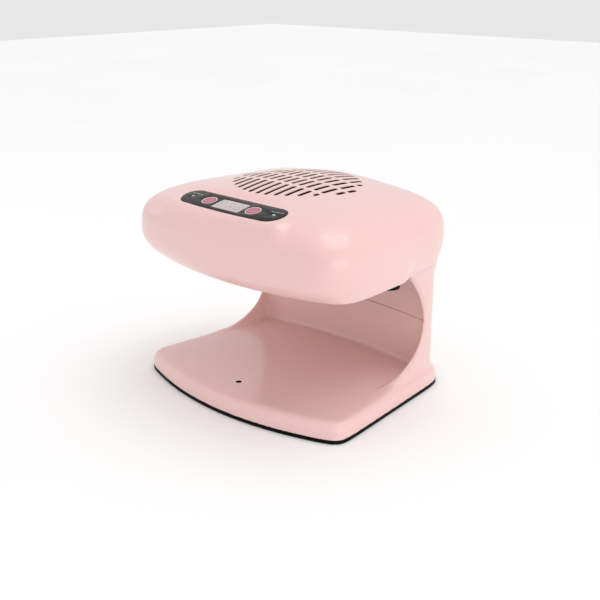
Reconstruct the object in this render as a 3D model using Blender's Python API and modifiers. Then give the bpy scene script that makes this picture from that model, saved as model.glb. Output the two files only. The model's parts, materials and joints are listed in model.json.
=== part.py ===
"""Two-hand salon nail dryer: a fan head cantilevered from a hollow column over an open hand tray.

Metres, +Z up. The front faces -Y, and the origin is the middle of the footprint on the table.
"""

import math
from collections import namedtuple

import bmesh
import bpy
from mathutils import Matrix, Vector

MM = 0.001
GAP = 0.3 * MM
WALL = 2.5 * MM
ROUND = 56

# Plan outlines: bowed front and rear lines, and straight sides that close towards the rear.
# half_width is taken at y = 0, and each bow is the fall-back of that line at x = BOW_X.
Plan = namedtuple("Plan", "half_width taper front front_bow rear rear_bow front_n rear_n")
BOW_X = 125 * MM
BASE = Plan(117.6 * MM, 0.097, 103.3 * MM, 26.6 * MM, 97.7 * MM, 4 * MM, 13, 12)
RIM = Plan(119.9 * MM, 0.050, 91.6 * MM, 23.2 * MM, 97.0 * MM, 8 * MM, 12, 8)
BELLY = Plan(122.5 * MM, 0.086, 104.1 * MM, 15.5 * MM, 104.1 * MM, 15.6 * MM, 9, 10)
CROWN = Plan(104.6 * MM, 0.086, 105.1 * MM, 15.5 * MM, 107.5 * MM, 15.6 * MM, 3.7, 2.2)

# Heights
PLATE_BOTTOM = 0.5 * MM
PLATE_TOP = 3.0 * MM
SHELL_BOTTOM = 3.3 * MM
TRAY_TOP = 18.2 * MM
SEAM_Z = 66.4 * MM
RIM_Z = 121.0 * MM
BELLY_Z = 148.7 * MM
SWEEP_Z = 105.0 * MM
CROWN_Z = 196.9 * MM
CROWN_Y = 14.3 * MM
CROWN_M = 2.84
CROWN_N = 2.76
SHOULDER_RHO = 0.5
MERGE_Y = 8.0 * MM
SKIRT_POWER = 2.5

# Base and column
TRAY_ROUND = 14 * MM
TRAY_POWER = 3.3
COLUMN_INSET = 6.0 * MM
FLARE_HEIGHT = 27 * MM
CHEEK_X = 103 * MM
WALL_Y = 76.5 * MM
WALL_BOW = 10.5 * MM
PANEL_SKIN = 1.8 * MM
SENSOR_XY = (-2.2 * MM, -72.0 * MM)
SENSOR_R = 2.6 * MM
FOOT_R = 7.5 * MM
GLAND_CENTRE = (62 * MM, 91.8 * MM, 34 * MM)
GLAND_R = 5.8 * MM
LEAD_R = 3.6 * MM

# Side view of the hand space: the concave edge of the cheeks, as (y, z) from the rim down
CHEEK_EDGE = [
    (-150, 130), (12, 130), (22, 122.5), (40, 112), (53, 95.5), (60, 80), (62, 68.5), (60, 53),
    (52, 39.5), (42, 31.5), (29, 25), (12, 20), (-8, 15), (-30, 9), (-50, 2), (-150, 2),
]

# Fan, grille and air path
FAN_XY = (0.0, 2.0 * MM)
VALLEY_HALF = (59.5 * MM, 54.5 * MM)
VALLEY_DEPTH = 1.44 * MM
GRILLE_Y = 4.4 * MM
GRILLE_HALF = (59.8 * MM, 57.2 * MM)
SLOT_PITCH_X = 8.95 * MM
SLOT_COLUMNS = 14
SLOT_W = 3.2 * MM
BRIDGE_PITCH = 23.6 * MM
BRIDGE_W = 3.4 * MM
FAN_SIZE = 119 * MM
FAN_BOTTOM = 160 * MM
FAN_TOP = 183 * MM
FAN_BORE_R = 56.5 * MM
BLADE_TIP_R = 54.5 * MM
HUB_R = 20 * MM
BLADES = 7
NOZZLE_Y = 33.0 * MM
NOZZLE_HALF = 96 * MM
NOZZLE_R = 10 * MM
NOZZLE_BOTTOM = 104 * MM
DUCT_HALF = 83 * MM
PAN_Z = 122.5 * MM
PAN_T = 2.2 * MM

# Control panel
PANEL_CENTRE = Vector((0.0, -78.6 * MM, 184.6 * MM))
PANEL_TILT = math.radians(11.3)
PANEL_HALF = 60.7 * MM
PANEL_R = 13.0 * MM
PANEL_T = 2.0 * MM
PANEL_BOW = 0.69
WINDOW = (32.6 * MM, 16.6 * MM)
BUTTON_X = 27.1 * MM
BUTTON_R = 5.7 * MM
BUTTON_TRAVEL = 0.8 * MM
BUTTON_DEPTH = 2.6 * MM
LED_X = 50.0 * MM
LED_R = 1.5 * MM

PINK = (0.86, 0.62, 0.59)
CHARCOAL = (0.045, 0.042, 0.045)
BLACK = (0.012, 0.012, 0.013)
STEEL = (0.55, 0.55, 0.56)
BOARD = (0.03, 0.19, 0.08)

PARTS = None
CUTTERS = None


# ---------------------------------------------------------------- scene and mesh helpers

def clear_scene():
    for obj in list(bpy.data.objects):
        bpy.data.objects.remove(obj)


def new_collection(name, helper=False):
    collection = bpy.data.collections.new(name)
    collection.hide_render = helper
    bpy.context.scene.collection.children.link(collection)
    return collection


def add_material(obj, colour, roughness=0.35, metallic=0.0):
    material = bpy.data.materials.new(obj.name)
    material.use_nodes = True
    shader = material.node_tree.nodes["Principled BSDF"]
    shader.inputs["Base Color"].default_value = (*colour, 1)
    shader.inputs["Roughness"].default_value = roughness
    shader.inputs["Metallic"].default_value = metallic
    obj.data.materials.append(material)


def from_bmesh(name, bm, colour, roughness=0.35, metallic=0.0):
    """Turns a bmesh into a named part with its own material."""
    bmesh.ops.recalc_face_normals(bm, faces=bm.faces)
    mesh = bpy.data.meshes.new(name)
    bm.to_mesh(mesh)
    bm.free()
    mesh.shade_smooth()
    mesh.set_sharp_from_angle(angle=math.radians(35))
    obj = bpy.data.objects.new(name, mesh)
    PARTS.objects.link(obj)
    add_material(obj, colour, roughness, metallic)
    return obj


def as_cutter(obj):
    PARTS.objects.unlink(obj)
    CUTTERS.objects.link(obj)
    obj.hide_render = True
    obj.display_type = "WIRE"
    return obj


def boolean(obj, tool, operation="DIFFERENCE"):
    modifier = obj.modifiers.new(tool.name, "BOOLEAN")
    modifier.operation = operation
    modifier.object = as_cutter(tool)
    return obj


def loft(name, rings, colour=PINK, roughness=0.25, metallic=0.0, capped=(True, True)):
    """Skins a stack of closed rings of equal count. Each end is closed by one flat face."""
    bm = bmesh.new()
    rows = [[bm.verts.new(point) for point in ring] for ring in rings]
    for low, high in zip(rows, rows[1:]):
        for i in range(len(low)):
            j = (i + 1) % len(low)
            bm.faces.new((low[i], low[j], high[j], high[i]))
    if capped[0]:
        bm.faces.new(rows[0])
    if capped[1]:
        bm.faces.new(rows[-1])
    return from_bmesh(name, bm, colour, roughness, metallic)


def prism(name, outline, low, high, *finish):
    """A flat outline of (x, y) points, extruded from z = low to z = high."""
    return loft(name, [[(x, y, z) for x, y in outline] for z in (low, high)], *finish)


def box(name, size, centre, *finish):
    bm = bmesh.new()
    bmesh.ops.create_cube(bm, size=1)
    bmesh.ops.scale(bm, vec=size, verts=bm.verts)
    bmesh.ops.translate(bm, vec=centre, verts=bm.verts)
    return from_bmesh(name, bm, *(finish or (PINK,)))


def cylinder(name, radius, length, centre, *finish, turn=None, segments=24):
    bm = bmesh.new()
    bmesh.ops.create_cone(
        bm, cap_ends=True, segments=segments, radius1=radius, radius2=radius, depth=length,
        matrix=Matrix.Translation(centre) @ (turn or Matrix.Identity(4)),
    )
    return from_bmesh(name, bm, *(finish or (PINK,)))


def turned(name, profile, centre, *finish, steps=32):
    """A closed (radius, z) profile turned about Z with a Screw modifier."""
    bm = bmesh.new()
    points = [bm.verts.new((radius, 0, z)) for radius, z in profile]
    for a, b in zip(points, points[1:] + points[:1]):
        bm.edges.new((a, b))
    obj = from_bmesh(name, bm, *finish)
    obj.location = centre
    screw = obj.modifiers.new("Turn", "SCREW")
    screw.steps = steps
    screw.render_steps = steps
    screw.use_merge_vertices = True
    screw.merge_threshold = 0.00001
    return obj


def tube(name, points, radius, colour, roughness=0.5):
    """A round wire or rod along a list of points."""
    curve = bpy.data.curves.new(name, "CURVE")
    curve.dimensions = "3D"
    curve.bevel_depth = radius
    curve.bevel_resolution = 2
    curve.use_fill_caps = True
    spline = curve.splines.new("POLY")
    spline.points.add(len(points) - 1)
    for target, point in zip(spline.points, points):
        target.co = (*point, 1)
    obj = bpy.data.objects.new(name, curve)
    PARTS.objects.link(obj)
    add_material(obj, colour, roughness)
    return obj


# ---------------------------------------------------------------- outlines

def plan_radius(plan, angle):
    """Distance from the plan's centre to its outline: the sides and bows blended by a power norm."""
    c, s = math.cos(angle), math.sin(angle)
    front = plan.front_bow * c * c / BOW_X**2
    rear = plan.rear_bow * c * c / BOW_X**2
    reach = [
        plan.half_width / max(abs(c) + plan.taper * s, 1e-6),
        2 * plan.front / max(-s + math.sqrt(s * s + 4 * front * plan.front), 1e-6),
        2 * plan.rear / max(s + math.sqrt(s * s + 4 * rear * plan.rear), 1e-6),
    ]
    n = plan.rear_n if s > 0 else plan.front_n
    return sum(r**-n for r in reach) ** (-1 / n)


def plan_outline(plan, inset=0.0, count=ROUND):
    """Points round the outline, closer together at the corners."""
    points = []
    for i in range(count):
        even = math.tau * (i + 0.5) / count
        angle = even + 0.15 * math.sin(4 * even)
        radius = plan_radius(plan, angle) - inset
        points.append((radius * math.cos(angle), radius * math.sin(angle)))
    return points


def plan_ring(plan, z, inset=0.0, count=ROUND):
    return [(x, y, z) for x, y in plan_outline(plan, inset, count)]


def stadium(half_length, radius, steps=8, bow=0.0):
    """A bar with round ends along X. bow bends it towards +Y by bow * x squared."""
    points = []
    for side in (1, -1):
        for i in range(steps + 1):
            angle = math.pi * (i / steps - 0.5)
            x = side * (half_length - radius + radius * math.cos(angle))
            y = side * radius * math.sin(angle)
            points.append((x, y + bow * x * x))
    return points


def mix(a, b, t):
    return tuple(p + (q - p) * t for p, q in zip(a, b))


def smooth_step(value, low, high):
    t = min(max((value - low) / (high - low), 0), 1)
    return t * t * (3 - 2 * t)


def back_wall_y(x):
    return WALL_Y - WALL_BOW * (x / CHEEK_X) ** 2


# ---------------------------------------------------------------- base

def flare(z):
    """Inset of the column's skin from the base outline: a concave sweep at its foot."""
    t = min(max((z - SHELL_BOTTOM) / FLARE_HEIGHT, 0), 1)
    return COLUMN_INSET * (1 - (1 - t) ** 2.5)


def tray_block(name, inset, top):
    """The slab of the tray, with its border rounded over in a squared quarter ellipse."""
    rings = []
    height = top - SHELL_BOTTOM
    for i in range(7):
        angle = math.pi / 2 * i / 6
        rise = max(math.sin(angle), 0) ** (2 / TRAY_POWER)
        run = 1 - max(math.cos(angle), 0) ** (2 / TRAY_POWER)
        rings.append(plan_ring(BASE, SHELL_BOTTOM + height * rise, inset + TRAY_ROUND * run))
    return loft(name, rings)


def column_outline(z, inset=0.0):
    """The column's skin at a height. Above SWEEP_Z it leans out in an S-curve to meet the belly."""
    lean = 1 - smooth_step(BELLY_Z - z, 0, BELLY_Z - SWEEP_Z)
    column, belly = plan_outline(BASE, inset + flare(z)), plan_outline(BELLY, inset)
    return [mix(c, b, lean) for c, b in zip(column, belly)]


def column_block(name, inset, low, high):
    heights = [low] + [z * MM for z in (5, 8, 12, 17, 23, 30.3, 105, 110, 115)] + [high]
    return loft(name, [[(x, y, z) for x, y in column_outline(z, inset)] for z in heights])


def hand_space_cutter():
    """Everything in front of the cheeks' concave edge, right across the part."""
    half = 160 * MM
    rings = [[(x, y * MM, z * MM) for y, z in CHEEK_EDGE] for x in (-half, half)]
    return loft("cut_hand_space", rings)


def pocket_cutter(name, low, high, half=CHEEK_X, front=-0.15, depth=0.0):
    """The room between the cheeks, back to the slightly concave wall."""
    xs = [half * (1 - i / 6) for i in range(13)]
    outline = [(-half, front), (half, front)] + [(x, back_wall_y(x) + depth) for x in xs]
    return prism(name, outline, low, high)


def column_hollow():
    """The cavity behind the inner wall: the column's inner skin, cut off by the wall's rear face."""
    hollow = column_block("cut_column_hollow", WALL, -5 * MM, 140 * MM)
    front = pocket_cutter("cut_front_of_hollow", -20 * MM, 160 * MM, 120 * MM, depth=WALL)
    return boolean(hollow, front)


def screw_places():
    return [(x * MM, y * MM) for y in (-62, 62) for x in (-78, 78)]


def build_base_shell():
    shell = tray_block("base_shell", 0, TRAY_TOP)
    column = column_block("join_column", 0, SHELL_BOTTOM, RIM_Z - GAP)
    boolean(column, hand_space_cutter())
    boolean(column, box("cut_column_front", (0.4, 0.2, 0.3), (0, -0.16, 0)))
    boolean(shell, column, "UNION")
    boolean(shell, pocket_cutter("cut_pocket", TRAY_TOP, 140 * MM))
    boolean(shell, tray_block("cut_tray_hollow", WALL, TRAY_TOP - WALL))
    boolean(shell, column_hollow())
    bay_half = CHEEK_X - 0.2 * MM
    boolean(shell, pocket_cutter("cut_panel_bay", SEAM_Z, 141 * MM, bay_half, 55 * MM, PANEL_SKIN + GAP))
    boolean(shell, pocket_cutter("cut_wire_bay", SEAM_Z, 142 * MM, 86 * MM, 60 * MM, 6 * MM))
    boss_low, boss_high = SHELL_BOTTOM + 0.1 * MM, TRAY_TOP - WALL / 2
    for i, (x, y) in enumerate(screw_places()):
        centre = (x, y, (boss_low + boss_high) / 2)
        boss = cylinder(f"join_boss_{i}", 4 * MM, boss_high - boss_low, centre, segments=16)
        boolean(shell, boss, "UNION")
        bore = cylinder(f"cut_boss_{i}", 1.8 * MM, 10 * MM, (x, y, 5.5 * MM), segments=12)
        boolean(shell, bore)
    boolean(shell, cylinder("cut_sensor", SENSOR_R, 20 * MM, (*SENSOR_XY, TRAY_TOP), segments=20))
    across = Matrix.Rotation(math.pi / 2, 4, "X")
    gland_hole = cylinder("cut_gland", GLAND_R, 20 * MM, GLAND_CENTRE, turn=across)
    return boolean(shell, gland_hole)


def build_base_plate():
    plate = prism("base_plate", plan_outline(BASE, 1.0 * MM), PLATE_BOTTOM, PLATE_TOP, BLACK, 0.5)
    for i, (x, y) in enumerate(foot_places()):
        boolean(plate, cylinder(f"cut_foot_{i}", FOOT_R + GAP, 4 * MM, (x, y, 0.3 * MM)))
    for i, (x, y) in enumerate(screw_places()):
        boolean(plate, cylinder(f"cut_screw_{i}", 1.8 * MM, 10 * MM, (x, y, 0), segments=12))
        boolean(plate, cylinder(f"cut_screw_head_{i}", 3.4 * MM, 2.6 * MM, (x, y, 0.5 * MM)))
    return plate


def foot_places():
    return [(x * MM, y * MM) for y in (-66, 66) for x in (-96, 96)]


def build_feet():
    names = ("foot_front_left", "foot_front_right", "foot_rear_left", "foot_rear_right")
    for name, (x, y) in zip(names, foot_places()):
        cylinder(name, FOOT_R, 2.0 * MM, (x, y, 1.0 * MM), BLACK, 0.8)


def screw(name, x, y, z, head_r, head_t, shank_r, length):
    """A pan-head screw driven from below: its head's outer face is at z and its shank runs up."""
    profile = [(shank_r, z + length), (shank_r, z + head_t), (head_r, z + head_t), (head_r * 0.9, z)]
    rings = [[(x + r * math.cos(a), y + r * math.sin(a), h) for a in ring_angles(16)] for r, h in profile]
    return loft(name, rings, STEEL, 0.3, 1.0)


def build_base_screws():
    for i, (x, y) in enumerate(screw_places()):
        screw(f"base_screw_{i + 1}", x, y, 0.8 * MM, 3.0 * MM, 0.8 * MM, 1.5 * MM, 9 * MM)


def build_inner_back_panel():
    """The upper half of the wall behind the hands, above the seam."""
    half = CHEEK_X - 2 * GAP
    xs = [half * (1 - i / 6) for i in range(13)]
    front = [(x, back_wall_y(x)) for x in xs]
    rear = [(x, back_wall_y(x) + PANEL_SKIN) for x in reversed(xs)]
    return prism("inner_back_panel", front + rear, SEAM_Z + GAP, RIM_Z - GAP)


def build_gland():
    """A plain bush where the lead enters. Its bore lies along Y."""
    profile = [
        (GLAND_R + 2 * MM, 1.8 * MM), (GLAND_R + 2 * MM, 0.3 * MM), (GLAND_R - GAP, 0.3 * MM),
        (GLAND_R - GAP, -2.8 * MM), (LEAD_R, -2.8 * MM), (LEAD_R, 1.8 * MM),
    ]
    gland = turned("cord_gland", profile, GLAND_CENTRE, BLACK, 0.6, steps=24)
    gland.rotation_euler = (-math.pi / 2, 0, 0)
    return gland


# ---------------------------------------------------------------- head

def valley(x, y):
    """Depth of the soft valley round the grille, which sets its dome apart."""
    reach = math.hypot((x - FAN_XY[0]) / VALLEY_HALF[0], (y - FAN_XY[1]) / VALLEY_HALF[1])
    return VALLEY_DEPTH * (smooth_step(reach, 0.3, 1.15) - smooth_step(reach, 1.15, 1.8))


def crown_ring(rho):
    """The top skin's ring at a fraction rho of the way from the crown to the belly. Its plan turns
    from the belly's squared outline into the crown's rounder one."""
    squared = smooth_step(rho, SHOULDER_RHO, 1)
    z = BELLY_Z + (CROWN_Z - BELLY_Z) * (1 - rho**CROWN_M) ** (1 / CROWN_N)
    ring = []
    for crown, belly in zip(plan_outline(CROWN), plan_outline(BELLY)):
        x, y = (v * rho for v in mix(crown, belly, squared))
        y += CROWN_Y * (1 - rho)
        ring.append(facet((x, y, z - valley(x, y))))
    return ring


def facet(point):
    """Eases the skin onto the flat, tilted facet that carries the control panel."""
    x, y, z = point
    across = abs(y - PANEL_CENTRE.y - PANEL_BOW * x * x)
    weight = (1 - smooth_step(abs(x), 62 * MM, 84 * MM)) * (1 - smooth_step(across, 14 * MM, 27 * MM))
    if z < BELLY_Z + 10 * MM:
        weight = 0
    plane = PANEL_CENTRE.z + (y - PANEL_CENTRE.y) * math.tan(PANEL_TILT)
    return (x, y, z + weight * (plane - z))


def skirt_ring(t):
    """The skin between the belly, t = 0, and the rim, t = 1: rounded under at the front and sides,
    and merging into the column's S-curve behind MERGE_Y."""
    z = BELLY_Z + (RIM_Z - BELLY_Z) * t
    ring = []
    for rim, belly, column in zip(plan_outline(RIM), plan_outline(BELLY), column_outline(z)):
        merged = smooth_step(belly[1], MERGE_Y, MERGE_Y + 26 * MM)
        ring.append((*mix(mix(belly, rim, t**SKIRT_POWER), column, merged), z))
    return ring


def head_rings():
    """Rings of the head's outer skin, from the rim up over the belly to the crown."""
    skirt = [skirt_ring(t) for t in (1, 0.75, 0.5, 0.25, 0)]
    return skirt + [crown_ring(rho) for rho in (0.994, 0.97, 0.93, 0.86, 0.77, 0.67, 0.56, 0.44, 0.32, 0.18)]


def slot_spans(x):
    """The lengths of one column of slots between the bridges, clipped by the grille's outline."""
    half = GRILLE_HALF[1] * math.sqrt(1 - (x / GRILLE_HALF[0]) ** 2)
    low, high = GRILLE_Y - half, GRILLE_Y + half
    bridges = [GRILLE_Y + row * BRIDGE_PITCH for row in (-1, 0, 1)]
    ends = [low] + [y for y in bridges if low < y < high] + [high]
    spans = []
    for a, b in zip(ends, ends[1:]):
        start = a + (BRIDGE_W / 2 if a != low else 0)
        stop = b - (BRIDGE_W / 2 if b != high else 0)
        if stop - start > SLOT_W * 1.6:
            spans.append((start, stop))
    return spans


def grille_cutter():
    """All the slots as one cutter: separate prisms with chamfered ends."""
    bm = bmesh.new()
    for column in range(SLOT_COLUMNS):
        x = (column - (SLOT_COLUMNS - 1) / 2) * SLOT_PITCH_X
        for start, stop in slot_spans(x):
            w, tip, nose = SLOT_W / 2, SLOT_W * 0.36, SLOT_W * 0.19
            outline = [
                (x - w, start + tip), (x - nose, start), (x + nose, start), (x + w, start + tip),
                (x + w, stop - tip), (x + nose, stop), (x - nose, stop), (x - w, stop - tip),
            ]
            rows = [[bm.verts.new((px, py, z)) for px, py in outline] for z in (0.17, 0.22)]
            bm.faces.new(reversed(rows[0]))
            bm.faces.new(rows[1])
            for i in range(len(outline)):
                j = (i + 1) % len(outline)
                bm.faces.new((rows[0][i], rows[0][j], rows[1][j], rows[1][i]))
    return from_bmesh("cut_grille", bm, PINK)


def tilt_with_panel(obj):
    obj.parent = bpy.data.objects["panel_frame"]
    return obj


def build_head_cover():
    cover = loft("head_cover", head_rings(), PINK, 0.22, capped=(False, True))
    wall = cover.modifiers.new("Wall", "SOLIDIFY")
    wall.thickness = WALL
    wall.offset = -1
    wall.use_even_offset = True
    boolean(cover, grille_cutter())
    outline = stadium(PANEL_HALF + GAP, PANEL_R + GAP, 8, PANEL_BOW)
    opening = prism("cut_panel", outline, -8 * MM, 8 * MM)
    return boolean(cover, tilt_with_panel(opening))


def pan_outline():
    """Just inside the head's skin at the rim."""
    return [(x * 0.97, y * 0.97) for x, y, z in skirt_ring(1)]


def pan_screw_places():
    return [(x * MM, y * MM) for y in (-58, 62) for x in (-84, 84)]


def build_underside_pan():
    pan = prism("underside_pan", pan_outline(), PAN_Z, PAN_Z + PAN_T)
    hole = prism("cut_nozzle", stadium(NOZZLE_HALF + GAP, NOZZLE_R + GAP), 0, 1)
    hole.location = (0, NOZZLE_Y, -0.1)
    boolean(pan, hole)
    boolean(pan, pocket_rear_cutter())
    for i, (x, y) in enumerate(pan_screw_places()):
        boolean(pan, cylinder(f"cut_pan_screw_{i}", 1.8 * MM, 20 * MM, (x, y, PAN_Z), segments=12))
    return boolean(pan, cylinder("cut_emitter", 2.6 * MM, 20 * MM, (*SENSOR_XY, PAN_Z), segments=16))


def pocket_rear_cutter():
    """A gap behind the wall, where the wires pass from the column to the head."""
    return box("cut_wire_gap", (120 * MM, 6 * MM, 20 * MM), (0, 86 * MM, PAN_Z))


def build_pan_screws():
    for i, (x, y) in enumerate(pan_screw_places()):
        screw(f"pan_screw_{i + 1}", x, y, PAN_Z - 1.6 * MM, 3.2 * MM, 1.3 * MM, 1.5 * MM, 9 * MM)


# ---------------------------------------------------------------- air path

def build_nozzle():
    """The black bar under the head that the air leaves by: a flanged oval collar with cross vanes."""
    top = PAN_Z + 4 * MM
    collar = prism("outlet_nozzle", stadium(NOZZLE_HALF, NOZZLE_R), NOZZLE_BOTTOM, top, CHARCOAL, 0.4)
    bore = prism("cut_nozzle_bore", stadium(NOZZLE_HALF - 2 * MM, NOZZLE_R - 2 * MM), 0, 1)
    bore.location.z = -0.2
    boolean(collar, bore)
    collar.location.y = NOZZLE_Y
    bore.location.y = NOZZLE_Y
    return collar


def build_outlet_grille():
    """Cross bars on two long rails, dropped into the collar."""
    z = NOZZLE_BOTTOM + 3 * MM
    half = NOZZLE_HALF - NOZZLE_R
    grille = box("outlet_grille", (2 * half, 1.6 * MM, 3 * MM), (0, NOZZLE_Y, z), CHARCOAL, 0.45)
    bars = 15
    for i in range(bars):
        x = -half + 2 * half * (i + 0.5) / bars
        bar = box(f"join_bar_{i}", (1.4 * MM, 2 * (NOZZLE_R - 2 * MM - GAP), 2.4 * MM), (x, NOZZLE_Y, z))
        boolean(grille, bar, "UNION")
    return grille


def build_air_duct():
    """The funnel from the round fan down to the long outlet."""
    top = [(57 * MM * math.cos(a), FAN_XY[1] + 57 * MM * math.sin(a)) for a in ring_angles()]
    low = oval_ring(DUCT_HALF, NOZZLE_R - 3 * MM)
    rings = []
    for t in (0.0, 0.12, 0.35, 0.6, 0.82, 1.0):
        ease = smooth_step(t, 0, 1)
        z = PAN_Z + 5 * MM + (FAN_BOTTOM - 1 * MM - PAN_Z - 5 * MM) * t
        rings.append([
            (a[0] + (b[0] - a[0]) * ease, a[1] + (b[1] - a[1]) * ease, z) for a, b in zip(low, top)
        ])
    duct = loft("air_duct", rings, BLACK, 0.5, capped=(False, False))
    wall = duct.modifiers.new("Wall", "SOLIDIFY")
    wall.thickness = 1.4 * MM
    wall.offset = 1
    return duct


def ring_angles(count=36):
    return [math.tau * (i + 0.5) / count for i in range(count)]


def oval_ring(half_length, radius):
    """A long oval about the nozzle's centre, one point for each angle of the fan's circle."""
    points = []
    for a in ring_angles():
        x, y = (math.copysign(abs(v) ** 0.6, v) for v in (math.cos(a), math.sin(a)))
        points.append((half_length * x, NOZZLE_Y + radius * y))
    return points


def rounded_square(size, radius, steps=4):
    half = size / 2 - radius
    points = []
    for corner in range(4):
        cx = half if corner in (0, 3) else -half
        cy = half if corner in (0, 1) else -half
        for i in range(steps + 1):
            a = math.pi / 2 * (corner + i / steps)
            points.append((cx + radius * math.cos(a), cy + radius * math.sin(a)))
    return points


def fan_screw_places():
    half = FAN_SIZE / 2 - 7 * MM
    return [(FAN_XY[0] + sx * half, FAN_XY[1] + sy * half) for sy in (-1, 1) for sx in (-1, 1)]


def build_fan_frame():
    """Square frame, round bore, four struts and the seat of the motor."""
    outline = [(x + FAN_XY[0], y + FAN_XY[1]) for x, y in rounded_square(FAN_SIZE, 9 * MM)]
    frame = prism("fan_frame", outline, FAN_BOTTOM, FAN_TOP, BLACK, 0.5)
    middle = (*FAN_XY, FAN_BOTTOM + 10 * MM)
    boolean(frame, cylinder("cut_fan_bore", FAN_BORE_R, 60 * MM, middle, segments=48))
    seat = cylinder("join_motor_seat", HUB_R - 1 * MM, 3 * MM, (*FAN_XY, FAN_BOTTOM + 1.5 * MM), segments=24)
    boolean(frame, seat, "UNION")
    for i in range(4):
        strut = box(f"join_strut_{i}", (48 * MM, 3 * MM, 3 * MM), (38 * MM, 0, 0))
        strut.rotation_euler.z = math.pi / 4 + i * math.pi / 2
        strut.location = (*FAN_XY, FAN_BOTTOM + 1.5 * MM)
        boolean(frame, strut, "UNION")
    for i, (x, y) in enumerate(fan_screw_places()):
        boolean(frame, cylinder(f"cut_fan_screw_{i}", 2.1 * MM, 60 * MM, (x, y, FAN_TOP), segments=12))
    return frame


def build_fan_screws():
    for i, (x, y) in enumerate(fan_screw_places()):
        screw(f"fan_screw_{i + 1}", x, y, FAN_BOTTOM - 2.2 * MM, 3.6 * MM, 1.8 * MM, 1.7 * MM, 18 * MM)


def build_motor():
    base = FAN_BOTTOM + 3 * MM + GAP
    profile = [(16.5 * MM, 14 * MM), (16.5 * MM, 0), (1.75 * MM, 0), (1.75 * MM, 14 * MM)]
    return turned("fan_motor", profile, (*FAN_XY, base), STEEL, 0.4, 0.8, steps=28)


def blade(bm, angle):
    """One pitched blade: a twisted plate from inside the hub's wall to the tip. The diagonals of
    its two faces run the same way, so that the twist leaves its thickness alone."""
    rows = []
    for k in range(6):
        t = k / 5
        radius = HUB_R - 1 * MM + (BLADE_TIP_R - HUB_R + 1 * MM) * t
        pitch = math.radians(48 - 24 * t)
        half = (12 + 7.5 * t) * MM
        sweep = angle + 0.3 * t
        out = Vector((math.cos(sweep), math.sin(sweep), 0))
        side = Vector((-math.sin(sweep), math.cos(sweep), 0))
        chord = side * math.cos(pitch) + Vector((0, 0, 1)) * math.sin(pitch)
        normal = chord.cross(out)
        chord_half = min(half, 8.6 * MM / math.sin(pitch))
        corners = []
        for u, v in ((-1, -1), (1, -1), (1, 1), (-1, 1)):
            corner = out * radius + chord * chord_half * u + normal * 0.8 * MM * v
            corner.xy = corner.xy.normalized() * radius
            corners.append(corner)
        rows.append([bm.verts.new(p) for p in corners])
    bm.faces.new(rows[0])
    bm.faces.new(rows[-1])
    for low, high in zip(rows, rows[1:]):
        for i in range(4):
            j = (i + 1) % 4
            across = (low[i], high[j]) if i < 2 else (low[j], high[i])
            bm.faces.new((low[i], low[j], across[1]))
            bm.faces.new((across[0], high[j], high[i]))


def build_impeller(axis):
    """The hub is a cup over the motor. Its origin is on the shaft's axis."""
    height = 9.5 * MM
    profile = [
        (0, height), (HUB_R - 1.5 * MM, height), (HUB_R, height - 1.5 * MM), (HUB_R, -height),
        (HUB_R - 2 * MM, -height), (HUB_R - 2 * MM, height - 2 * MM), (0, height - 2 * MM),
    ]
    impeller = turned("fan_impeller", profile, (0, 0, 0), CHARCOAL, 0.4, steps=28)
    for i in range(BLADES):
        bm = bmesh.new()
        blade(bm, math.tau * i / BLADES)
        fin = from_bmesh(f"join_blade_{i}", bm, CHARCOAL)
        fin.parent = axis
        boolean(impeller, fin, "UNION")
    impeller.parent = axis
    shaft = cylinder("fan_shaft", 1.5 * MM, 13.4 * MM, (0, 0, 0.2 * MM), STEEL, 0.2, 1.0, segments=16)
    shaft.parent = axis
    return impeller


def build_heater():
    """Nichrome wire wound over crossed mica boards, inside the duct."""
    z = 150 * MM
    x0, y0 = FAN_XY
    frame = box("heater_frame", (96 * MM, 1.2 * MM, 12 * MM), (x0, y0 + 2 * MM, z), (0.72, 0.66, 0.50), 0.7)
    cross = box("join_heater_cross", (1.2 * MM, 34 * MM, 12 * MM), (x0, y0 + 2 * MM, z))
    boolean(frame, cross, "UNION")
    points = []
    turns, per_turn = 2, 14
    for i in range(turns * per_turn + 1):
        a = math.tau * i / per_turn + 0.2
        radius = (16 + 12 * i / (turns * per_turn)) * MM
        points.append((x0 + radius * math.cos(a) * 1.35, y0 + 2 * MM + radius * math.sin(a), z + 7.3 * MM))
    tube("heater_element", points, 0.9 * MM, (0.35, 0.30, 0.28), 0.4)
    cylinder("thermal_cutout", 4.5 * MM, 4 * MM, (30 * MM, y0 + 12 * MM, z - 5 * MM), STEEL, 0.3, 0.9)


# ---------------------------------------------------------------- control panel and electronics

def bend(obj, strength):
    """Bends a part lying in the panel's plane along the panel's bow."""
    for vertex in obj.data.vertices:
        vertex.co.y += strength * vertex.co.x**2
    return obj


def build_control_panel():
    outline = stadium(PANEL_HALF, PANEL_R, 8, PANEL_BOW)
    panel = prism("control_panel", outline, -PANEL_T + 0.4 * MM, 0.4 * MM, CHARCOAL, 0.3)
    tilt_with_panel(panel)
    window = (WINDOW[0] + 2 * GAP, WINDOW[1] + 2 * GAP, 10 * MM)
    boolean(panel, tilt_with_panel(box("cut_window", window, (0, 0, 0))))
    for name, x in (("left", -BUTTON_X), ("right", BUTTON_X)):
        hole = cylinder(f"cut_button_{name}", BUTTON_R + GAP, 10 * MM, (x, PANEL_BOW * x * x, 0))
        boolean(panel, tilt_with_panel(hole))
    for name, x in (("left", -LED_X), ("right", LED_X)):
        hole = cylinder(f"cut_led_{name}", LED_R + 0.2 * MM, 10 * MM, (x, PANEL_BOW * x * x, 0), segments=12)
        boolean(panel, tilt_with_panel(hole))
    return panel


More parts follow.
